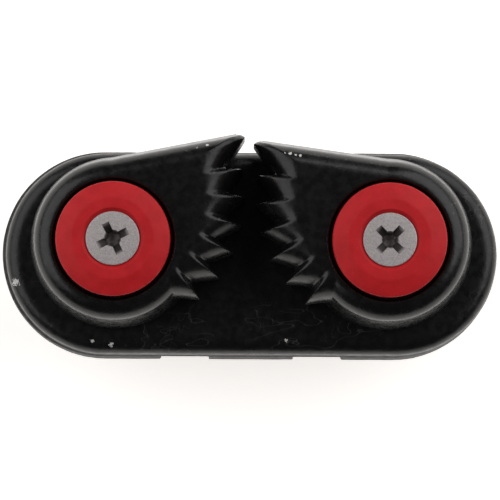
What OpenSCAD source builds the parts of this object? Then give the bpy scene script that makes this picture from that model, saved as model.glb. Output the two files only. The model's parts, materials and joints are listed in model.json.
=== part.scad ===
/* [Base] */
// Distance between the two pivot and screw axes
hole_spacing = 38; // [38:0.5:40]
// Overall length of the base at its top half
base_len = 69.4; // [69:0.2:72]
// Width of the base at its top half
base_w = 28.4; // [28:0.2:30]
// Height of the base
base_h = 9; // [9:0.1:10]
// Radius of the rounded top edge of the base
base_round = 2; // [1.5:0.1:2.4]
// How far the base reaches further to the front than to the back of the axes
front_shift = 1.4; // [1:0.1:1.6]
// Height of the mould parting line on the side wall
parting_z = 5.2; // [5:0.1:5.6]
// Mismatch of the two mould halves along the length
mould_shift = 0.3; // [0:0.1:0.4]
// Width of each fairlead notch in the front wall
notch_w = 6.75; // [6:0.05:7]
// Distance of each notch centre from the middle
notch_x = 9.4; // [9:0.1:10]

/* [Cams] */
// Height of a cam
cam_h = 12.6; // [12.4:0.1:13]
// Running gap under a cam
cam_gap = 0.3; // [0.2:0.05:0.4]
// Radius of the cam hub at its foot
hub_r = 12.1; // [12:0.05:12.2]
// Number of teeth on a cam
tooth_n = 7; // [7]
// Angle from one tooth to the next, seen from the centre of the tooth arc
tooth_pitch = 12.1; // [12:0.05:12.3]
// Radius of the arc that the tooth tips lie on
tooth_r = 18.9; // [18.5:0.1:19]
// Depth of the saw-tooth gaps
tooth_depth = 2.6; // [2:0.1:3]
// How far the right cam stands open at rest, in degrees
open_right = 0; // [0:0.5:4]
// How far the left cam stands open at rest, in degrees
open_left = 3; // [2:0.5:6]
// How far a cam turns from closed to fully open, in degrees
cam_travel = 45; // [40:1:48]

/* [Bearings] */
// Diameter of a bearing ball
ball_d = 2.5; // [2.5]
// Balls in one row
ball_n = 14; // [12:1:14]
// Rows of balls under each cap
ball_rows = 3; // [3]
// Outer radius of the steel race sleeve
race_r = 4.65; // [4.6:0.01:4.7]

/* [Caps and screws] */
// Outer radius of the red cap
cap_r = 7.87; // [7.7:0.01:8]
// Height of the cap above the top of the cams
cap_rise = 2.1; // [2:0.1:2.4]
// Radius of the screw shank
screw_r = 2; // [2]
// Radius of the countersunk head
head_r = 3.72; // [3.7:0.01:3.8]
// Overall length of each screw
screw_len = 35; // [30:5:40]
// Angle of the cross recess of the left screw
cross_left = 26; // [0:1:90]
// Angle of the cross recess of the right screw
cross_right = 45; // [0:1:90]

/* [Springs] */
// Wire diameter of the return springs
wire_d = 1; // [0.8:0.1:1]
// Mean radius of the spring coil
coil_r = 6.4; // [6.3:0.05:6.5]
// Turns in each spring
coil_turns = 2.25; // [2.25]

/* [Hidden] */
$fn = 72;
e = 0.01;

// Base
end_r = base_w / 2;
end_x = base_len / 2 - end_r;
wall_draft = 0.15;
wall_step = 0.15;
foot_draft = 0.3;
wall_t = 2.6;
hollow_h = 5;
boss_r = 9.9;
rib_w = 12;
post_r = 3.6;
hole_r = 2.25;
pocket_r = 8.9;
pocket_z = base_h - 3.6;
stop_r1 = 9.5;
stop_r2 = 11.3;
stop_depth = 1.8;
stop_gap = 0.2;
lug_half_angle = 8;

// Cams, in the frame of the right-hand cam, whose teeth point to -X
cam_z = base_h + cam_gap;
cam_top = cam_z + cam_h;
hub_foot = 1;
hub_shoulder_r = 11.1;
hub_flat_r = 8.35;
shoulder_h = 2.8;
recess_depth = 1;
recess_r = cap_r + 0.48;
ball_clear = 0.04;
bore_r = race_r + ball_d + 2 * ball_clear;
back_slope = 8;
back_inset = 0.12;
arc_x = 0.3;
arc_y = 6.05;
first_tooth = 21.2;
beak = 1.6;
crown_r = 12.8;
crown_h = 5;
crown_steps = 5;
valley_lead = 2;
leg_hole_r = 0.7;

// Bearing stack
washer_z = cam_z + 0.3;
washer_t = 0.8;
spacer_t = 0.6;
row_pitch = ball_d + spacer_t + 0.1;
row_z = washer_z + washer_t + 0.05 + ball_d / 2;
ring_out = bore_r - 0.08;
ring_in = race_r + 0.08;
ball_circle = race_r + ball_clear + ball_d / 2;

// Caps and screws
cap_top = cam_top + cap_rise;
cap_foot_z = row_z + (ball_rows - 1) * row_pitch + ball_d / 2 + 0.15;
flange_z = cam_top - recess_depth + 0.3;
land_r = 5.6;
slope_r = 7.5;
slope_drop = 0.75;
cap_skirt_r = bore_r - 0.1;
head_top = cap_top - 0.15;
head_rim = 0.3;
seat = head_top - head_rim - head_r;
plain_r = 1.8;
thread_end_z = -0.3;
recess_w = 4.7;
recess_tip = 1.9;
recess_t = 0.95;
recess_h = 2.3;

// Springs
wire_r = wire_d / 2;
coil_z = pocket_z + 0.1 + wire_r;
coil_pitch = wire_d + 0.05;
coil_end_z = coil_z + coil_turns * coil_pitch;
leg_r = 8.2;
leg_top = cam_z + 2.2;
leg_depth = 2.2;
wire_sides = 8;
leg_wire_r = wire_r - 0.03;
arm_wire_r = wire_r - 0.06;
coil_steps = 18;

function polar(r, a) = [r * cos(a), r * sin(a)];

// Quarter arc from (x + r, y) to (x, y + r)
function round_corner(x, y, r, n = 8) = [for (i = [0 : n]) [x, y] + polar(r, 90 * i / n)];

// Half cross-section of the upper half of the base, out to radius r
function upper_profile(r) = concat(
    [[0, parting_z], [r + wall_draft, parting_z]],
    round_corner(r - base_round, base_h - base_round, base_round),
    [[0, base_h]]
);

// Half cross-section of the lower half of the base, out to radius r
function lower_profile(r) = [
    [0, 0],
    [r + wall_draft + wall_step + foot_draft, 0],
    [r + wall_draft + wall_step, parting_z],
    [0, parting_z]
];

// A body with round ends and a straight middle, both with the same half profile
module stadium(profile, half_len) {
    for (side = [0, 180])
        rotate([0, 0, side])
            translate([half_len, 0, 0])
                rotate([0, 0, -90])
                    rotate_extrude(angle = 180)
                        polygon(profile);
    for (side = [0, 180])
        rotate([0, 0, side])
            rotate([90, 0, 90])
                linear_extrude(height = 2 * half_len, center = true)
                    polygon(profile);
}

module ring(r_out, r_in, z, h) {
    translate([0, 0, z])
        difference() {
            cylinder(r = r_out, h = h);
            translate([0, 0, -1])
                cylinder(r = r_in, h = h + 2);
        }
}

// A sector of a ring, from angle a to angle b
module ring_sector(r1, r2, a, b, z, h) {
    translate([0, 0, z])
        rotate([0, 0, a])
            rotate_extrude(angle = b - a)
                translate([r1, 0])
                    square([r2 - r1, h]);
}

// Puts a piece made around the right-hand axis at both axes, or at one of them
module at_right() {
    translate([hole_spacing / 2, 0, 0])
        children();
}

module at_left() {
    mirror([1, 0, 0])
        at_right()
            children();
}

module base_shell() {
    difference() {
        union() {
            stadium(upper_profile(end_r), end_x);
            translate([-mould_shift, 0, 0])
                stadium(lower_profile(end_r), end_x);
        }
        difference() {
            translate([0, 0, -1])
                stadium(
                    [[0, 0], [end_r - wall_t, 0], [end_r - wall_t, hollow_h + 1], [0, hollow_h + 1]],
                    end_x
                );
            for (side = [-1, 1])
                translate([side * hole_spacing / 2, front_shift, -2]) {
                    cylinder(r = boss_r, h = base_h);
                    translate([-rib_w / 2, 0, 0])
                        cube([rib_w, end_r, base_h]);
                }
        }
        for (side = [-1, 1])
            translate([side * notch_x - notch_w / 2, -end_r - 2, -1])
                cube([notch_w, wall_t + 3, hollow_h + 1]);
    }
}

// Spring pocket, stop slot and leg hole around the right-hand axis
module pivot_pocket(open) {
    translate([0, 0, pocket_z])
        cylinder(r = pocket_r, h = base_h);
    stop_margin = lug_half_angle + 180 * stop_gap / (PI * stop_r1);
    ring_sector(stop_r1, stop_r2, -cam_travel - stop_margin, -open + stop_margin,
        base_h - stop_depth, stop_depth + 1);
    rotate([0, 0, -open])
        translate([coil_r, 0, pocket_z - leg_depth])
            cylinder(r = leg_hole_r, h = leg_depth + 1);
}

module base() {
    color("#1b1b1c")
        difference() {
            union() {
                difference() {
                    translate([0, -front_shift, 0])
                        base_shell();
                    at_right()
                        pivot_pocket(open_right);
                    at_left()
                        pivot_pocket(open_left);
                }
                for (side = [-1, 1])
                    translate([side * hole_spacing / 2, 0, pocket_z - 1])
                        cylinder(r = post_r, h = cap_foot_z - pocket_z + 1);
            }
            for (side = [-1, 1])
                translate([side * hole_spacing / 2, 0, -1])
                    cylinder(r = hole_r, h = cap_foot_z + 2);
        }
}

// Half cross-section of a cam from the axis to the hub wall, with that wall moved in by inset
function cam_profile(inner, inset, steps) = concat(
    [[inner, cam_z], [hub_r - inset, cam_z], [hub_r - 0.05 - inset, cam_z + hub_foot]],
    [for (i = [0 : steps])
        [hub_flat_r - inset + (hub_shoulder_r - hub_flat_r) * cos(90 * i / steps),
         cam_top - shoulder_h + shoulder_h * sin(90 * i / steps)]],
    [[inner, cam_top]]
);

// A point of the tooth outline, around the centre of the tooth arc
function tooth_point(r, a) = [arc_x - r * cos(a), arc_y + r * sin(a)];

function tooth_angle(k) = first_tooth - k * tooth_pitch;

// Tooth outline at one level: f is 1 at the tips and 0 where the crown meets the top face
function tooth_outline(f) = concat(
    [[3, 0], [3, 17], [-12, 17], tooth_point(crown_r + (20.2 - crown_r) * f, 34),
     tooth_point(crown_r + (19.7 - crown_r) * f, 24.7)],
    [for (k = [0 : tooth_n - 1], v = [0, 1])
        v == 0
            ? tooth_point(crown_r + (tooth_r + (k == 0 ? beak : 0) - crown_r) * f, tooth_angle(k))
            : tooth_point(crown_r + (tooth_r - tooth_depth - crown_r) * f, tooth_angle(k + 1) + valley_lead)]
);

// The toothed arm, one outline lofted upward over the rounded crown
module toothed_arm() {
    n = 5 + 2 * tooth_n;
    levels = concat(
        [[cam_z, 1]],
        [for (i = [0 : crown_steps])
            [cam_top - crown_h + crown_h * sin(90 * i / crown_steps), cos(90 * i / crown_steps)]]
    );
    last = len(levels) - 1;
    points = [for (level = levels, p = tooth_outline(level[1])) [p[0], p[1], level[0]]];
    centre = [for (level = [0, last]) [arc_x, arc_y, levels[level][0]]];
    sides = [for (l = [0 : last - 1], i = [0 : n - 1], half = [0, 1])
        let (j = (i + 1) % n)
            half == 0
                ? [l * n + i, (l + 1) * n + j, l * n + j]
                : [l * n + i, (l + 1) * n + i, (l + 1) * n + j]];
    bottom = [for (i = [0 : n - 1]) [len(points), i, (i + 1) % n]];
    top = [for (i = [0 : n - 1]) [len(points) + 1, last * n + (i + 1) % n, last * n + i]];
    polyhedron(points = concat(points, centre), faces = concat(bottom, sides, top), convexity = 6);
}

// Limits the arm to the straight back face, which leaves the hub almost at a tangent
module back_limit() {
    rotate([0, 0, -back_slope])
        rotate([90, 0, -90])
            linear_extrude(height = 24)
                mirror([1, 0])
                    polygon(cam_profile(-20, back_inset, 5));
}

module cam_body(open) {
    rotate([0, 0, -open])
        difference() {
            union() {
                rotate_extrude()
                    polygon(cam_profile(0, 0, 8));
                intersection() {
                    toothed_arm();
                    back_limit();
                }
                ring_sector(stop_r1 + stop_gap, stop_r2 - stop_gap, -lug_half_angle, lug_half_angle,
                    cam_z - stop_depth + stop_gap + cam_gap, stop_depth);
            }
            translate([0, 0, cam_z - 1])
                cylinder(r = bore_r, h = cam_h + 2);
            translate([0, 0, cam_top - recess_depth])
                cylinder(r = recess_r, h = recess_depth + 1);
            rotate([0, 0, 90])
                translate([leg_r, 0, cam_z - 1])
                    cylinder(r = leg_hole_r, h = leg_top - cam_z + 1.3);
        }
}

module cam_left() {
    color("#202021")
        at_left()
            cam_body(open_left);
}

module cam_right() {
    color("#202021")
        at_right()
            cam_body(open_right);
}

module cap_body() {
    rotate_extrude()
        polygon(concat(
            [[hole_r, cap_foot_z], [cap_skirt_r, cap_foot_z], [cap_skirt_r, flange_z], [cap_r, flange_z],
             [cap_r, cap_top - slope_drop - 0.35]],
            round_corner(cap_r - 0.35, cap_top - slope_drop - 0.35, 0.35, 4),
            [[slope_r, cap_top - slope_drop], [land_r, cap_top], [cap_top - seat + 0.03, cap_top],
             [hole_r, seat + hole_r - 0.03]]
        ));
}

module cap_left() {
    color("#a5161c")
        at_left()
            cap_body();
}

module cap_right() {
    color("#a5161c")
        at_right()
            cap_body();
}

// Countersunk screw with a cross recess
module screw_body(cross) {
    difference() {
        rotate_extrude()
            polygon([
                [0, head_top - screw_len],
                [screw_r - 0.5, head_top - screw_len],
                [screw_r, head_top - screw_len + 0.5],
                [screw_r, thread_end_z],
                [plain_r, thread_end_z + screw_r - plain_r],
                [plain_r, seat + plain_r],
                [head_r, head_top - head_rim],
                [head_r, head_top - 0.1],
                [head_r - 0.1, head_top],
                [0, head_top]
            ]);
        for (turn = [0, 90])
            rotate([90, 0, cross + turn])
                linear_extrude(height = recess_t, center = true)
                    polygon([
                        [-recess_w / 2, head_top + e],
                        [-recess_tip / 2, head_top - recess_h],
                        [recess_tip / 2, head_top - recess_h],
                        [recess_w / 2, head_top + e]
                    ]);
    }
}

module screw_left() {
    color("#8f8886")
        translate([-hole_spacing / 2, 0, 0])
            screw_body(cross_left);
}

module screw_right() {
    color("#8f8886")
        at_right()
            screw_body(cross_right);
}

module race_sleeve() {
    color("#b9babc")
        ring(race_r, post_r + 0.02, pocket_z, cap_foot_z - pocket_z);
}

module ball_washer() {
    color("#d8d5cc")
        ring(ring_out, ring_in - 0.06, washer_z, washer_t);
}

module ball_row(row) {
    color("#c9cacc")
        for (i = [0 : ball_n - 1])
            rotate([0, 0, 360 * i / ball_n + 9 * row])
                translate([ball_circle, 0, row_z + row * row_pitch])
                    sphere(r = ball_d / 2, $fn = 20);
}

module ball_spacer(row) {
    color("#d8d5cc")
        ring(ring_out, ring_in, row_z + row * row_pitch + ball_d / 2 + 0.05, spacer_t);
}

// Return spring: a leg down into the base, the coil, and a leg out and up into the cam
module return_spring(open) {
    end_a = 90 - open;
    start_a = end_a - 360 * coil_turns;
    steps = round(coil_steps * coil_turns);
    rings = [for (i = [0 : steps])
        let (
            a = start_a + 360 * coil_turns * i / steps,
            z = coil_z + coil_turns * coil_pitch * i / steps
        )
        [for (s = [0 : wire_sides - 1])
            let (b = 360 * s / wire_sides, r = coil_r + wire_r * cos(b))
                [r * cos(a), r * sin(a), z + wire_r * sin(b)]]];
    count = (steps + 1) * wire_sides;
    walls = [for (i = [0 : steps - 1], s = [0 : wire_sides - 1], half = [0, 1])
        let (t = (s + 1) % wire_sides, p = i * wire_sides, q = p + wire_sides)
            half == 0 ? [p + s, q + t, q + s] : [p + s, p + t, q + t]];
    start_cap = [[for (s = [wire_sides - 1 : -1 : 0]) s]];
    end_cap = [[for (s = [0 : wire_sides - 1]) count - wire_sides + s]];
    color("#9a9c9f") {
        polyhedron(points = [for (ring = rings, p = ring) p], faces = concat(walls, start_cap, end_cap));
        rotate([0, 0, start_a])
            translate([coil_r, 0, pocket_z - leg_depth + 0.2])
                cylinder(r = leg_wire_r, h = coil_z - pocket_z + leg_depth);
        rotate([0, 0, end_a]) {
            translate([coil_r - leg_wire_r, 0, coil_end_z])
                rotate([0, 90, 0])
                    cylinder(r = arm_wire_r, h = leg_r - coil_r + leg_wire_r);
            translate([leg_r, 0, coil_end_z - leg_wire_r])
                cylinder(r = leg_wire_r, h = leg_top - coil_end_z + leg_wire_r);
        }
    }
}

base();
cam_left();
cam_right();
cap_left();
cap_right();
screw_left();
screw_right();
at_left() race_sleeve();  // race_sleeve_left
at_right() race_sleeve();  // race_sleeve_right
at_left() ball_washer();  // ball_washer_left
at_right() ball_washer();  // ball_washer_right
at_left() ball_row(0);  // lower_balls_left
at_right() ball_row(0);  // lower_balls_right
at_left() ball_row(1);  // middle_balls_left
at_right() ball_row(1);  // middle_balls_right
at_left() ball_row(2);  // upper_balls_left
at_right() ball_row(2);  // upper_balls_right
at_left() ball_spacer(0);  // lower_spacer_left
at_right() ball_spacer(0);  // lower_spacer_right
at_left() ball_spacer(1);  // upper_spacer_left
at_right() ball_spacer(1);  // upper_spacer_right
at_left() return_spring(open_left);  // return_spring_left
at_right() return_spring(open_right);  // return_spring_right
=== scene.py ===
import json
import math

import bmesh
import bpy
import numpy as np
from mathutils import Matrix, Vector, noise


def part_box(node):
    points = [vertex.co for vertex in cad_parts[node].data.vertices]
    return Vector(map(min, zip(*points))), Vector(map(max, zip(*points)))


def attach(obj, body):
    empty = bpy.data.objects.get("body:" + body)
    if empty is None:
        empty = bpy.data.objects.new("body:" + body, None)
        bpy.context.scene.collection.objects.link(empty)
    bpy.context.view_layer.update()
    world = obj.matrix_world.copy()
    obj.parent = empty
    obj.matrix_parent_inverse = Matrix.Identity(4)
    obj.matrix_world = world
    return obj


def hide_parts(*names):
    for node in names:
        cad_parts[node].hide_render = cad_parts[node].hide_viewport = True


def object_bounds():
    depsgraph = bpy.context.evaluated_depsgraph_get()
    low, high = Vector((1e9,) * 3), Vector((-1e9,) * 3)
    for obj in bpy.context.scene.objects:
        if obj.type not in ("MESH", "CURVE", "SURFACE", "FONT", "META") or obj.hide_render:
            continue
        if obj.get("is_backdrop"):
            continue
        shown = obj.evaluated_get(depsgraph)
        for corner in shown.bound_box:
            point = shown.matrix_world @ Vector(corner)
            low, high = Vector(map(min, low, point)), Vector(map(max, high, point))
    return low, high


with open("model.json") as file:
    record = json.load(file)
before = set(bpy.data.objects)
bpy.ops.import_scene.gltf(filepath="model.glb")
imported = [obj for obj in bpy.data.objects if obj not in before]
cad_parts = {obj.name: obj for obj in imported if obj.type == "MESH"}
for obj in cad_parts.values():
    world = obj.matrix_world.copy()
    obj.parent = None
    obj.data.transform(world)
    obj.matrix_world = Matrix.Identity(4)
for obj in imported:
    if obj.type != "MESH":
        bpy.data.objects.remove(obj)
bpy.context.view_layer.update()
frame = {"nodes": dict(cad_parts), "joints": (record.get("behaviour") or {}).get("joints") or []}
MM = 0.001
SIDES = {"left": -1, "right": 1}

# Sizes are in millimetres and angles in degrees unless a comment says otherwise.
# Heights and radii are read from the frame where it has them.
JOINTS = {joint["name"]: joint for joint in frame["joints"]}
PIVOT = {side: JOINTS[side + "_cam_turn"]["pos_m"][0] / MM for side in SIDES}
BASE_TOP = 9.0
CAM_FOOT = BASE_TOP + 0.3
CAM_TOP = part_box("cam_right")[1].z / MM
CAP_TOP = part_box("cap_right")[1].z / MM
CAP_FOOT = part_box("cap_right")[0].z / MM
CAP_R = (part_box("cap_right")[1].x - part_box("cap_right")[0].x) / MM / 2
SCREW_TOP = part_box("screw_right")[1].z / MM
SCREW_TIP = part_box("screw_right")[0].z / MM

# Cams, in the frame of the right-hand cam, whose teeth point to -X
OPEN = {"left": 3.0, "right": 0.0}
HUB_R = 12.1
HUB_FOOT_H = 1.0
HUB_DRAFT = 0.05
HUB_SHOULDER_R = 11.1
HUB_FLAT_R = 8.35
SHOULDER_H = 2.8
SHOULDER_STEPS = 20
BORE_R = 7.23
RECESS_R = CAP_R + 0.48
RECESS_DEPTH = 1.0
CUTTER_TOP = 40

# Teeth: radii and angles round ARC_CENTRE, the angles from -X towards +Y
ARC_CENTRE = (0.3, 6.05)
TOOTH_R = 18.9
TOOTH_COUNT = 7
TOOTH_PITCH = 12.1
TOOTH_STEPS = 6
FIRST_TOOTH = 21.2
TOOTH_DEPTH = 2.6
VALLEY_LEAD = 2.0
TOOTH_SCOOP = 0.28
BEAK = 1.6
BEAK_BACK = [(20.2, 34), (19.7, 24.7)]
CROWN_R = 12.8
CROWN_H = 5.0
CROWN_STEPS = 26

# The arm's corners away from the teeth as (x, y), the straight back that limits the arm,
# and the stop lug under the hub
ARM_CORNERS = [(3, 0), (3, 17), (-12, 17)]
BACK_SLOPE = 8.0
BACK_INSET = 0.12
BACK_FRONT = -20
BACK_REACH = -24
LUG_INNER_R = 9.7
LUG_OUTER_R = 11.1
LUG_HALF_ANGLE = 8.0
LUG_STEPS = 6
LUG_OVERLAP = 1

# Caps
CAP_TURN = 25
CAP_HOLE_R = 2.25
CAP_SKIRT_R = BORE_R - 0.1
CAP_SKIRT_H = 1.7
CAP_LAND_R = 5.6
CAP_RIM_DROP = 0.63
CAP_CONE_R = 4.2

# Screws
HEAD_R = 3.72
HEAD_RIM_H = 0.3
HEAD_DRAFT = 0.04
SHANK_R = 2.0
CONE_TOP = SCREW_TOP - HEAD_RIM_H
CONE_FOOT = CONE_TOP - HEAD_R + SHANK_R
TIP_CHAMFER = 0.5
PLAIN_ENDS = 0.6
THREAD_PITCH = 0.7
THREAD_DEPTH = 0.4
THREAD_END = CONE_FOOT - 0.8
THREAD_FADE = 1.5
RINGS_PER_TURN = 8

# The cross recess: its turn on each side, and half lengths and widths of its wings
CROSS = {"left": 26.0, "right": 45.0}
CROSS_DEPTH = 2.3
CROSS_CLEAR = 0.3
CROSS_FLOOR = (0.95, 0.34)
CROSS_MOUTH = (2.48, 0.56)
CROSS_TIP_H = 0.45
CROSS_TIP_R = 0.75
CROSS_CORE_R = 1.25

# Colours, and the heights between which the base's wall turns from rough to smooth
CAST_CAM_TINT = (0.0034, 0.0034, 0.0034)
CAST_BASE_TINT = (0.003, 0.003, 0.0031)
WORN_EDGE = (0.16, 0.155, 0.15)
SCRATCH = (0.2, 0.2, 0.2)
BARE_METAL = (0.62, 0.6, 0.58)
CHIP_RAGGEDNESS = 2.4
WALL_LOW = 6.0
WALL_HIGH = 7.6

# Chips in the black finish, as (x, y, radius) seen from above
CHIPS = {
    "base": [(-33.2, -5.6, 0.42), (-19.6, -14.3, 0.26), (-22.3, -13.9, 0.2), (5.0, -13.6, 0.2)],
    "cam_left": [(-7.6, 12.7, 0.13), (-6.2, 13.0, 0.18)],
    "cam_right": [(4.6, 12.0, 0.1), (5.3, 11.9, 0.18), (6.0, 11.75, 0.13), (6.7, 11.65, 0.17)],
}

# Studio and camera, with lengths in metres here
FLOOR_HALF = 1.2
FLOOR_GAP = 0.0002
FLOOR_GLOW = (1.0, 0.95, 0.91)
WORLD_COLOUR = (1, 0.99, 0.98, 1)
LIGHT_HEIGHT = 38
LIGHT_DISTANCE = 0.6
LIGHT_SIZE = (0.9, 0.6)
CAMERA_DISTANCE = 0.49
CAMERA_TILT = 2.5
CAMERA_ROLL = 0.3
LOOK_AT = Vector((-0.18, -1.53, CAP_TOP)) * MM


# Mesh helpers. Meshes are made in millimetres and scaled to metres when they are placed.

def new_object(name, points, faces):
    mesh = bpy.data.meshes.new(name)
    mesh.from_pydata([tuple(p) for p in points], [], faces)
    bm = bmesh.new()
    bm.from_mesh(mesh)
    bmesh.ops.recalc_face_normals(bm, faces=bm.faces)
    bm.to_mesh(mesh)
    bm.free()
    obj = bpy.data.objects.new(name, mesh)
    bpy.context.scene.collection.objects.link(obj)
    return obj


def apply_modifiers(obj):
    depsgraph = bpy.context.evaluated_depsgraph_get()
    mesh = bpy.data.meshes.new_from_object(obj.evaluated_get(depsgraph))
    obj.modifiers.clear()
    old = obj.data
    obj.data = mesh
    bpy.data.meshes.remove(old)
    mesh.name = obj.name


def combine(obj, other, operation):
    """A boolean of obj with other, which is used up."""
    modifier = obj.modifiers.new("combine", "BOOLEAN")
    modifier.operation = operation
    modifier.solver = "EXACT"
    modifier.object = other
    apply_modifiers(obj)
    bpy.data.objects.remove(other)


def cast_skin(obj, voxel, keep):
    """Remeshes a body, rounds its edges a little as a casting's are, and keeps a share of the faces."""
    remesh = obj.modifiers.new("remesh", "REMESH")
    remesh.mode = "VOXEL"
    remesh.voxel_size = voxel
    smooth = obj.modifiers.new("smooth", "SMOOTH")
    smooth.factor = 0.5
    smooth.iterations = 2
    apply_modifiers(obj)
    decimate = obj.modifiers.new("decimate", "DECIMATE")
    decimate.ratio = keep
    apply_modifiers(obj)


def shade_smooth(obj, crease=None):
    """Shades a body smooth, but for edges sharper than crease degrees where one is given."""
    obj.data.shade_smooth()
    if crease is not None:
        obj.data.set_sharp_from_angle(angle=math.radians(crease))


def place(obj, shift, turn=0, mirrored=False):
    """Turns a body about its own axis, mirrors it if asked, moves it and scales it to metres."""
    matrix = Matrix.Rotation(math.radians(turn), 4, "Z")
    if mirrored:
        matrix = Matrix.Scale(-1, 4, (1, 0, 0)) @ matrix
    matrix = Matrix.Scale(MM, 4) @ Matrix.Translation(shift) @ matrix
    obj.data.transform(matrix)
    if mirrored:
        obj.data.flip_normals()


def fillet(corners, steps=6):
    """A closed outline through (r, z, radius) corners, each rounded by its own radius."""
    outline = []
    for i, (r, z, radius) in enumerate(corners):
        p = Vector((r, z))
        a = Vector(corners[i - 1][:2]) - p
        b = Vector(corners[(i + 1) % len(corners)][:2]) - p
        if radius == 0:
            outline.append(tuple(p))
            continue
        half = a.angle(b) / 2
        cut = radius / math.tan(half)
        a.normalize()
        b.normalize()
        centre = p + (a + b).normalized() * (radius / math.sin(half))
        start = p + a * cut - centre
        end = p + b * cut - centre
        turn = start.angle_signed(end)
        for k in range(steps + 1):
            arm = start.copy()
            arm.rotate(Matrix.Rotation(-turn * k / steps, 2))
            outline.append(tuple(centre + arm))
    return outline


def lathe(name, outline, steps=144, carve=None):
    """Turns a closed (r, z) outline about the axis. carve(r, z, angle) can change a radius."""
    points = []
    faces = []
    rings = []
    for r, z in outline:
        if r < 1e-6:
            rings.append([len(points)] * steps)
            points.append((0, 0, z))
            continue
        rings.append(list(range(len(points), len(points) + steps)))
        for k in range(steps):
            angle = 2 * math.pi * k / steps
            radius = carve(r, z, angle) if carve else r
            points.append((radius * math.cos(angle), radius * math.sin(angle), z))
    for i, ring in enumerate(rings):
        after = rings[(i + 1) % len(rings)]
        for k in range(steps):
            corners = [ring[k], ring[(k + 1) % steps], after[(k + 1) % steps], after[k]]
            corners = list(dict.fromkeys(corners))
            if len(corners) > 2:
                faces.append(corners)
    return new_object(name, points, faces)


def extrude(name, outline, start, end):
    """A (y, z) outline extruded along X."""
    n = len(outline)
    points = [(x, y, z) for x in (start, end) for y, z in outline]
    faces = [[i, (i + 1) % n, n + (i + 1) % n, n + i] for i in range(n)]
    faces += [list(range(n))[::-1], list(range(n, 2 * n))]
    return new_object(name, points, faces)


# Materials

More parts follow.
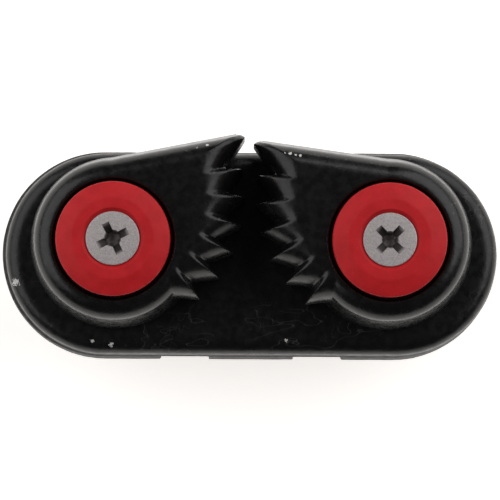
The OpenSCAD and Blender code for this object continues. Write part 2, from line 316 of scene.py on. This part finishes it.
class Shader:
    """A node material round one Principled shader, in object coordinates in millimetres."""

    def __init__(self, name):
        self.material = bpy.data.materials.new(name)
        self.material.use_nodes = True
        self.tree = self.material.node_tree
        self.shader = self.tree.nodes["Principled BSDF"]
        coordinates = self.add("ShaderNodeTexCoord")
        scale = self.add("ShaderNodeVectorMath", operation="SCALE")
        scale.inputs["Scale"].default_value = 1 / MM
        self.link(coordinates.outputs["Object"], scale.inputs[0])
        self.position = scale.outputs[0]

    def height(self):
        split = self.add("ShaderNodeSeparateXYZ")
        self.link(self.position, split.inputs[0])
        return split.outputs["Z"]

    def add(self, kind, **properties):
        node = self.tree.nodes.new(kind)
        for key, value in properties.items():
            setattr(node, key, value)
        return node

    def link(self, source, target):
        self.tree.links.new(source, target)

    def noise(self, size, detail=3.0, roughness=0.55, stretch=(1, 1, 1)):
        """Noise whose features are about size millimetres across."""
        node = self.add("ShaderNodeTexNoise")
        node.inputs["Scale"].default_value = 1 / size
        node.inputs["Detail"].default_value = detail
        node.inputs["Roughness"].default_value = roughness
        mapping = self.add("ShaderNodeMapping")
        mapping.inputs["Scale"].default_value = stretch
        self.link(self.position, mapping.inputs["Vector"])
        self.link(mapping.outputs[0], node.inputs["Vector"])
        return node.outputs["Fac"]

    def ramp(self, value, low, high, out_low=0.0, out_high=1.0):
        """Maps low..high to out_low..out_high and holds beyond."""
        node = self.add("ShaderNodeMapRange")
        node.interpolation_type = "SMOOTHSTEP"
        node.inputs["From Min"].default_value = low
        node.inputs["From Max"].default_value = high
        node.inputs["To Min"].default_value = out_low
        node.inputs["To Max"].default_value = out_high
        self.link(value, node.inputs["Value"])
        return node.outputs["Result"]

    def math(self, operation, a, b):
        node = self.add("ShaderNodeMath", operation=operation)
        for socket, value in zip(node.inputs, (a, b)):
            if isinstance(value, (int, float)):
                socket.default_value = value
            else:
                self.link(value, socket)
        return node.outputs[0]

    def mix(self, factor, a, b):
        node = self.add("ShaderNodeMix", data_type="RGBA")
        self.link(factor, node.inputs["Factor"])
        for socket, value in ((node.inputs["A"], a), (node.inputs["B"], b)):
            if isinstance(value, tuple):
                socket.default_value = (*value, 1)
            else:
                self.link(value, socket)
        return node.outputs["Result"]

    def spots(self, places):
        """1 inside ragged spots at (x, y, radius), in millimetres and seen from above, and 0 outside."""
        wobble = self.math("SUBTRACT", self.noise(0.25, 4), 0.5)
        wobble = self.math("MULTIPLY", wobble, CHIP_RAGGEDNESS * 2)
        plan = self.add("ShaderNodeVectorMath", operation="MULTIPLY")
        plan.inputs[1].default_value = (1, 1, 0)
        self.link(self.position, plan.inputs[0])
        found = None
        for x, y, radius in places:
            distance = self.add("ShaderNodeVectorMath", operation="DISTANCE")
            distance.inputs[1].default_value = (x, y, 0)
            self.link(plan.outputs[0], distance.inputs[0])
            near = self.math("ADD", self.math("DIVIDE", distance.outputs["Value"], radius), wobble)
            spot = self.ramp(near, 1.15, 0.85)
            found = spot if found is None else self.math("MAXIMUM", found, spot)
        return found

    def scratches(self, spacing, width, stretch, rarity):
        """1 on thin lines where a stretched noise crosses its middle, in patches, and 0 elsewhere."""
        line = self.math("SUBTRACT", self.noise(spacing, 1.5, stretch=stretch), 0.5)
        line = self.math("ABSOLUTE", line, 0)
        thin = self.ramp(line, width, width * 0.3)
        patches = self.ramp(self.noise(spacing * 1.7, 2), rarity, rarity + 0.05)
        return self.math("MULTIPLY", thin, patches)

    def bump(self, height, depth):
        """Adds a bump of depth millimetres on top of the ones before."""
        node = self.add("ShaderNodeBump")
        node.inputs["Strength"].default_value = 1.0
        node.inputs["Distance"].default_value = depth * MM
        self.link(height, node.inputs["Height"])
        normal = self.shader.inputs["Normal"]
        if normal.is_linked:
            self.link(normal.links[0].from_socket, node.inputs["Normal"])
        self.link(node.outputs["Normal"], normal)

    def set(self, **values):
        """Sets or links the shader's sockets, named as in base_color."""
        for key, value in values.items():
            socket = self.shader.inputs[key.replace("_", " ").title().replace("Ior", "IOR")]
            if isinstance(value, tuple):
                socket.default_value = (*value, 1)
            elif isinstance(value, (int, float)):
                socket.default_value = value
            else:
                self.link(value, socket)


def cast_black(name, tint, roughness, grain, chips, scratched):
    """Black anodised casting: fine grain, faint blotches, pale edge wear and chips.

    A scratched one also has faint scratches and a rougher wall below its rounded top edge.
    """
    s = Shader(name)
    blotch = s.noise(3.5, 4)
    colour = s.mix(s.ramp(blotch, 0.35, 0.7), tint, tuple(c * 1.5 for c in tint))
    point = s.add("ShaderNodeNewGeometry").outputs["Pointiness"]
    worn = s.math("MULTIPLY", s.ramp(point, 0.54, 0.66), s.ramp(s.noise(0.7, 3), 0.42, 0.66))
    colour = s.mix(s.math("MULTIPLY", worn, 0.35), colour, WORN_EDGE)
    if scratched:
        lines = s.scratches(6, 0.006, (1, 2.6, 1), 0.5)
        cross = s.scratches(4, 0.005, (2.2, 1, 1), 0.56)
        lines = s.math("MAXIMUM", lines, cross)
        colour = s.mix(s.math("MULTIPLY", lines, 0.2), colour, SCRATCH)
    colour = s.mix(s.spots(chips), colour, BARE_METAL)
    rough = s.ramp(s.noise(1.1, 4), 0.3, 0.7, roughness - 0.05, roughness + 0.07)
    if scratched:
        rough = s.math("ADD", rough, s.ramp(s.height(), WALL_LOW, WALL_HIGH, 0.24, 0.0))
    s.set(base_color=colour, roughness=rough, specular_ior_level=0.45, ior=1.45)
    s.bump(s.noise(0.22, 3), 0.006 * grain)
    s.bump(s.noise(1.6, 3), 0.03 * grain)
    return s.material


def red_plastic():
    """Satin moulded red: faint blotches, a few specks of dust and a fine grain."""
    s = Shader("red moulded plastic")
    blotch = s.noise(2.2, 4)
    colour = s.mix(s.ramp(blotch, 0.3, 0.7), (0.46, 0.010, 0.014), (0.53, 0.014, 0.018))
    dust = s.ramp(s.noise(0.35, 2), 0.68, 0.8)
    colour = s.mix(s.math("MULTIPLY", dust, 0.12), colour, (0.5, 0.2, 0.18))
    rough = s.ramp(s.noise(0.8, 4), 0.3, 0.7, 0.46, 0.58)
    s.set(base_color=colour, roughness=rough, specular_ior_level=0.22)
    s.bump(s.noise(0.16, 3), 0.005)
    s.bump(s.noise(1.8, 2), 0.02)
    return s.material


def sandy_steel():
    """Stainless screw: fine sandy grain, dark specks, and painted shade low in the recess of its head.
    """
    s = Shader("sandy stainless steel")
    grain = s.noise(0.14, 5, 0.7)
    colour = s.mix(s.ramp(grain, 0.3, 0.7), (0.36, 0.32, 0.315), (0.60, 0.56, 0.555))
    specks = s.ramp(s.noise(0.22, 2), 0.66, 0.74)
    colour = s.mix(s.math("MULTIPLY", specks, 0.5), colour, (0.14, 0.12, 0.115))
    # painted shade: the head's colour darkens towards the bottom of its cross recess, standing in for
    # the shade there
    recess_shade = s.ramp(s.height(), SCREW_TOP - 0.9, SCREW_TOP - 0.1, 0.85, 0.0)
    head_only = s.ramp(s.height(), SCREW_TOP - 3.4, SCREW_TOP - 3.0)
    colour = s.mix(s.math("MULTIPLY", recess_shade, head_only), colour, (0.10, 0.085, 0.08))
    s.set(base_color=colour, metallic=0.5, roughness=s.ramp(grain, 0.3, 0.7, 0.38, 0.58))
    s.bump(grain, 0.012)
    return s.material


def ground_steel(name, tint, roughness):
    """Ground steel with fine marks that run level round it."""
    s = Shader(name)
    marks = s.noise(0.35, 3, stretch=(0.15, 0.15, 6))
    colour = s.mix(marks, tuple(c * 0.8 for c in tint), tint)
    rough = s.ramp(marks, 0.3, 0.7, roughness * 0.8, roughness * 1.3)
    s.set(base_color=colour, metallic=1.0, roughness=rough)
    s.bump(marks, 0.003)
    return s.material


def acetal():
    """Natural acetal: off-white, waxy, very faint flow marks."""
    s = Shader("natural acetal")
    flow = s.noise(1.5, 3, stretch=(1, 1, 0.4))
    colour = s.mix(flow, (0.66, 0.63, 0.55), (0.76, 0.74, 0.67))
    s.set(base_color=colour, roughness=s.ramp(flow, 0.3, 0.7, 0.34, 0.46))
    s.bump(s.noise(0.2, 3), 0.003)
    return s.material


def pale_floor():
    """A white floor that glows a little, as a light table does."""
    s = Shader("pale floor")
    colour = s.mix(s.noise(40, 2), (0.9, 0.9, 0.895), (0.92, 0.92, 0.915))
    s.set(base_color=colour, roughness=0.6, specular_ior_level=0.2)
    s.set(emission_color=FLOOR_GLOW, emission_strength=0.66)
    return s.material


# Pieces

def finish_piece(piece, body, material, replaced):
    """Gives a piece its material, puts it under its body's empty and hides the imported part it stands
    for.
    """
    piece.data.materials.clear()
    piece.data.materials.append(material)
    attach(piece, body)
    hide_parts(replaced)


def tooth_point(radius, angle):
    """The point at a radius and an angle round the centre of the teeth."""
    a = math.radians(angle)
    return (ARC_CENTRE[0] - radius * math.cos(a), ARC_CENTRE[1] + radius * math.sin(a))


def tooth_outline(f):
    """The arm's outline at one level: f is 1 for the full teeth and 0 where the crown meets the top."""
    def reach(radius):
        return CROWN_R + (radius - CROWN_R) * f

    outline = ARM_CORNERS + [tooth_point(reach(radius), angle) for radius, angle in BEAK_BACK]
    for k in range(TOOTH_COUNT):
        tip = TOOTH_R + (BEAK if k == 0 else 0)
        valley = TOOTH_R - TOOTH_DEPTH
        start = FIRST_TOOTH - k * TOOTH_PITCH
        end = start - TOOTH_PITCH + VALLEY_LEAD
        for step in range(TOOTH_STEPS + 1):
            t = step / TOOTH_STEPS
            radius = tip + (valley - tip) * t - TOOTH_SCOOP * math.sin(math.pi * t)
            outline.append(tooth_point(reach(radius), start + (end - start) * t))
    return outline


def toothed_arm():
    """The toothed side of a cam, with a rounded crown.

    Its corners away from the teeth are cut off later or lie inside the hub.
    """
    levels = [(CAM_FOOT, 1.0)]
    for i in range(CROWN_STEPS + 1):
        a = math.pi / 2 * i / CROWN_STEPS
        levels.append((CAM_TOP - CROWN_H + CROWN_H * math.sin(a), math.cos(a)))
    points = []
    for z, f in levels:
        points += [(x, y, z) for x, y in tooth_outline(f)]
    n = len(points) // len(levels)
    top = (len(levels) - 1) * n
    faces = []
    for low in range(0, top, n):
        for i in range(n):
            j = (i + 1) % n
            faces.append([low + i, low + j, low + n + j, low + n + i])
    for centre, ring in ((len(points), 0), (len(points) + 1, top)):
        faces += [[centre, ring + (i + 1) % n, ring + i] for i in range(n)]
    points += [(*ARC_CENTRE, CAM_FOOT), (*ARC_CENTRE, CAM_TOP)]
    return new_object("arm", points, faces)


def cam_profile(inner, inset):
    """The (r, z) outline of a cam's rounded side, from inner to the hub's radius less inset."""
    profile = [
        (inner, CAM_FOOT),
        (HUB_R - inset, CAM_FOOT),
        (HUB_R - HUB_DRAFT - inset, CAM_FOOT + HUB_FOOT_H),
    ]
    for i in range(SHOULDER_STEPS + 1):
        a = math.pi / 2 * i / SHOULDER_STEPS
        profile.append((
            HUB_FLAT_R - inset + (HUB_SHOULDER_R - HUB_FLAT_R) * math.cos(a),
            CAM_TOP - SHOULDER_H + SHOULDER_H * math.sin(a),
        ))
    return profile + [(inner, CAM_TOP)]


def stop_lug():
    """The lug under the hub that runs in a slot of the base, reaching a little up into the hub."""
    steps = range(-LUG_STEPS, LUG_STEPS + 1)
    angles = [math.radians(LUG_HALF_ANGLE * k / LUG_STEPS) for k in steps]
    outline = [(LUG_INNER_R * math.cos(a), LUG_INNER_R * math.sin(a)) for a in angles]
    outline += [(LUG_OUTER_R * math.cos(a), LUG_OUTER_R * math.sin(a)) for a in reversed(angles)]
    n = len(outline)
    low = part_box("cam_right")[0].z / MM
    points = [(x, y, z) for z in (low, CAM_FOOT + LUG_OVERLAP) for x, y in outline]
    faces = [[i, (i + 1) % n, n + (i + 1) % n, n + i] for i in range(n)]
    faces += [list(range(n)), list(range(n, 2 * n))]
    return new_object("lug", points, faces)


def rough_up(obj, coarse, fine, seed):
    """Waves of a casting's surface: moves each point along its normal by two smooth noises.

    coarse and fine are their heights, and the seed sets where in the noise the body lies.
    """
    coarse_size = 2.6
    fine_size = 0.7
    mesh = obj.data
    places = np.empty(len(mesh.vertices) * 3)
    normals = np.empty(len(mesh.vertices) * 3)
    mesh.vertices.foreach_get("co", places)
    mesh.vertex_normals.foreach_get("vector", normals)
    places = places.reshape(-1, 3)
    shift = Vector((seed * 17.3, seed * 5.1, seed * 9.7))
    amounts = []
    for p in places:
        where = Vector(p) + shift
        wave = coarse * noise.noise(where / coarse_size)
        amounts.append(wave + fine * noise.noise(where / fine_size))
    places += normals.reshape(-1, 3) * np.array(amounts)[:, None]
    mesh.vertices.foreach_set("co", places.ravel())
    mesh.update()


def make_cam():
    """The cam in its own frame, with cast-round edges."""
    cam = toothed_arm()
    cam.name = "cam"
    back = extrude("back", cam_profile(BACK_FRONT, BACK_INSET), 0, BACK_REACH)
    back.data.transform(Matrix.Rotation(math.radians(-BACK_SLOPE), 4, "Z"))
    combine(cam, back, "INTERSECT")
    combine(cam, lathe("hub", cam_profile(0, 0), 180), "UNION")
    combine(cam, stop_lug(), "UNION")
    bore = fillet([(0, 0, 0), (BORE_R, 0, 0), (BORE_R, CUTTER_TOP, 0), (0, CUTTER_TOP, 0)])
    combine(cam, lathe("bore", bore, 180), "DIFFERENCE")
    floor = CAM_TOP - RECESS_DEPTH
    recess = [(0, floor), (RECESS_R, floor), (RECESS_R, CUTTER_TOP), (0, CUTTER_TOP)]
    combine(cam, lathe("recess", recess, 180), "DIFFERENCE")
    cast_skin(cam, voxel=0.17, keep=0.75)
    rough_up(cam, coarse=0.012, fine=0.006, seed=3)
    return cam


def make_base():
    """The base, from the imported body, with cast-round edges and the waves of a casting."""
    base = bpy.data.objects.new("cast_base", frame["nodes"]["base"].data.copy())
    bpy.context.scene.collection.objects.link(base)
    base.data.transform(Matrix.Scale(1 / MM, 4))
    bm = bmesh.new()
    bm.from_mesh(base.data)
    bmesh.ops.remove_doubles(bm, verts=bm.verts, dist=1e-4)
    bm.to_mesh(base.data)
    bm.free()
    cast_skin(base, voxel=0.26, keep=0.7)
    rough_up(base, coarse=0.02, fine=0.012, seed=1)
    place(base, (0, 0, 0))
    shade_smooth(base)
    return base


def make_cap():
    """A flanged cap: hole, skirt, flange, sloped rim, flat land and the cone of the screw's seat."""
    corners = [
        (CAP_HOLE_R, CAP_FOOT, 0.15),
        (CAP_SKIRT_R, CAP_FOOT, 0.25),
        (CAP_SKIRT_R, CAP_FOOT + CAP_SKIRT_H, 0.1),
        (CAP_R, CAP_FOOT + CAP_SKIRT_H, 0.25),
        (CAP_R, CAP_TOP - CAP_RIM_DROP, 0.36),
        (CAP_LAND_R, CAP_TOP, 1.6),
        (CAP_CONE_R, CAP_TOP, 0.12),
        (CAP_HOLE_R, CAP_TOP - CAP_CONE_R + CAP_HOLE_R, 0.1),
    ]
    return lathe("cap", fillet(corners, steps=8), 192)


def screw_outline():
    """Outline from the tip up the shank, the countersunk cone, the rim and the head's flat."""
    chamfer_top = SCREW_TIP + TIP_CHAMFER
    length = CONE_FOOT - SCREW_TIP - PLAIN_ENDS
    stations = [(0, SCREW_TIP), (SHANK_R - TIP_CHAMFER, SCREW_TIP), (SHANK_R, chamfer_top)]
    count = round(length / (THREAD_PITCH / RINGS_PER_TURN))
    for i in range(1, count):
        stations.append((SHANK_R, chamfer_top + length * i / count))
    stations.append((SHANK_R, CONE_FOOT))
    head = fillet([
        (SHANK_R, CONE_FOOT, 0),
        (HEAD_R, CONE_TOP, 0.1),
        (HEAD_R - HEAD_DRAFT, SCREW_TOP, 0.12),
        (0, SCREW_TOP, 0),
    ])
    return stations + head[1:]


def thread(r, z, angle):
    """Cuts a V thread with flats at its crest and root into the shank. It fades out near the head."""
    if z > THREAD_END:
        return r
    turn = (z / THREAD_PITCH - angle / (2 * math.pi)) % 1
    depth = THREAD_DEPTH * min(1, max(0, abs(2 * turn - 1) * 1.3 - 0.15))
    fade = min(1, (THREAD_END - z) / THREAD_FADE)
    return r - depth * fade


def cross_cutter():
    """The tapered cross of the driver recess, with a small cone at its bottom."""
    top = SCREW_TOP + CROSS_CLEAR
    floor = SCREW_TOP - CROSS_DEPTH
    cutter = None
    for turn in (0, 90):
        points = []
        for z, (reach, half) in ((floor, CROSS_FLOOR), (top, CROSS_MOUTH)):
            points += [(-reach, -half, z), (reach, -half, z), (reach, half, z), (-reach, half, z)]
        faces = [[0, 1, 2, 3], [4, 5, 6, 7], [0, 1, 5, 4], [1, 2, 6, 5], [2, 3, 7, 6], [3, 0, 4, 7]]
        wing = new_object("wing", points, faces)
        wing.data.transform(Matrix.Rotation(math.radians(turn), 4, "Z"))
        if cutter is None:
            cutter = wing
        else:
            combine(cutter, wing, "UNION")
    middle = [(0, floor - CROSS_TIP_H), (CROSS_TIP_R, floor), (CROSS_CORE_R, top), (0, top)]
    combine(cutter, lathe("middle", middle, 24), "UNION")
    return cutter


def make_screw():
    """A countersunk cross-recess screw with its thread."""
    screw = lathe("screw", screw_outline(), 96, thread)
    combine(screw, cross_cutter(), "DIFFERENCE")
    return screw


def copy_piece(source, name):
    piece = bpy.data.objects.new(name, source.data.copy())
    bpy.context.scene.collection.objects.link(piece)
    return piece


def build_sides(materials):
    """The cam, the cap and the screw of each side, from one cam, one cap and one screw."""
    cam = make_cam()
    cap = make_cap()
    screw = make_screw()
    for side, sign in SIDES.items():
        centre = (PIVOT[side], 0, 0)
        piece = copy_piece(cam, "cast_cam_" + side)
        place(piece, centre, -OPEN[side], side == "left")
        shade_smooth(piece)
        finish_piece(piece, side + "_cam", materials["cam_" + side], "cam_" + side)
        piece = copy_piece(cap, "flanged_cap_" + side)
        place(piece, centre, CAP_TURN * sign)
        shade_smooth(piece, crease=40)
        finish_piece(piece, "housing", materials["cap"], "cap_" + side)
        piece = copy_piece(screw, "threaded_screw_" + side)
        place(piece, centre, CROSS[side])
        shade_smooth(piece, crease=35)
        finish_piece(piece, "housing", materials["screw"], "screw_" + side)
    for source in (cam, cap, screw):
        bpy.data.objects.remove(source)


def dress_hidden(materials):
    """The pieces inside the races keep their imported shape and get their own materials."""
    for name, node in frame["nodes"].items():
        for words, material in materials["hidden"].items():
            if words in name:
                node.data.materials.clear()
                node.data.materials.append(material)


# Studio

def soft_box(name, azimuth, power):
    """A soft box that looks at the object. Azimuth 0 is to the right and 90 to the back."""
    data = bpy.data.lights.new(name, "AREA")
    data.shape = "RECTANGLE"
    data.size, data.size_y = LIGHT_SIZE
    data.energy = power
    light = bpy.data.objects.new(name, data)
    a = math.radians(azimuth)
    h = math.radians(LIGHT_HEIGHT)
    way = Vector((math.cos(a) * math.cos(h), math.sin(a) * math.cos(h), math.sin(h)))
    light.location = way * LIGHT_DISTANCE
    light.rotation_mode = "QUATERNION"
    light.rotation_quaternion = way.to_track_quat("Z", "Y")
    bpy.context.scene.collection.objects.link(light)


def studio():
    """The floor just under the object, a dim world and two soft boxes."""
    floor_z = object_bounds()[0].z - FLOOR_GAP
    corners = [(FLOOR_HALF * x, FLOOR_HALF * y, 0) for x, y in ((-1, -1), (1, -1), (1, 1), (-1, 1))]
    floor = new_object("floor", corners, [[0, 1, 2, 3]])
    floor.location.z = floor_z
    floor.data.materials.append(pale_floor())
    floor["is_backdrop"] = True
    world = bpy.data.worlds.new("studio")
    world.use_nodes = True
    background = world.node_tree.nodes["Background"]
    background.inputs["Color"].default_value = WORLD_COLOUR
    background.inputs["Strength"].default_value = 0.05
    bpy.context.scene.world = world
    soft_box("right box", azimuth=32, power=3.3)
    soft_box("left box", azimuth=168, power=2.7)
    bpy.context.scene.view_settings.view_transform = "Standard"


def camera():
    """Almost straight down on the cleat, tilted a little to the front."""
    tilt = math.radians(CAMERA_TILT)
    roll = Matrix.Rotation(math.radians(CAMERA_ROLL), 3, "Z").to_quaternion()
    back = Vector((0, -math.sin(tilt), math.cos(tilt)))
    data = bpy.data.cameras.new("camera")
    data.lens = 258
    data.sensor_width = 36
    data.clip_start = 0.01
    view = bpy.data.objects.new("camera", data)
    view.location = LOOK_AT + back * CAMERA_DISTANCE
    view.rotation_mode = "QUATERNION"
    view.rotation_quaternion = back.to_track_quat("Z", "Y") @ roll
    bpy.context.scene.collection.objects.link(view)
    bpy.context.scene.camera = view


def make_materials():
    """The materials of the pieces, and under "hidden" those of the nodes inside the races."""
    materials = {
        "base": cast_black(
            "cast black base", CAST_BASE_TINT, roughness=0.31, grain=1.6,
            chips=CHIPS["base"], scratched=True
        ),
        "cap": red_plastic(),
        "screw": sandy_steel(),
        "hidden": {
            "race_sleeve": ground_steel("ground race steel", (0.62, 0.62, 0.61), 0.25),
            "balls": ground_steel("bearing ball steel", (0.72, 0.72, 0.72), 0.1),
            "return_spring": ground_steel("drawn spring wire", (0.5, 0.5, 0.51), 0.32),
            "washer": acetal(),
            "spacer": acetal(),
        },
    }
    for side in SIDES:
        materials["cam_" + side] = cast_black(
            "cast black %s cam" % side, CAST_CAM_TINT, roughness=0.27, grain=0.8,
            chips=CHIPS["cam_" + side], scratched=False
        )
    return materials


camera()
materials = make_materials()
finish_piece(make_base(), "housing", materials["base"], "base")
build_sides(materials)
dress_hidden(materials)
studio()
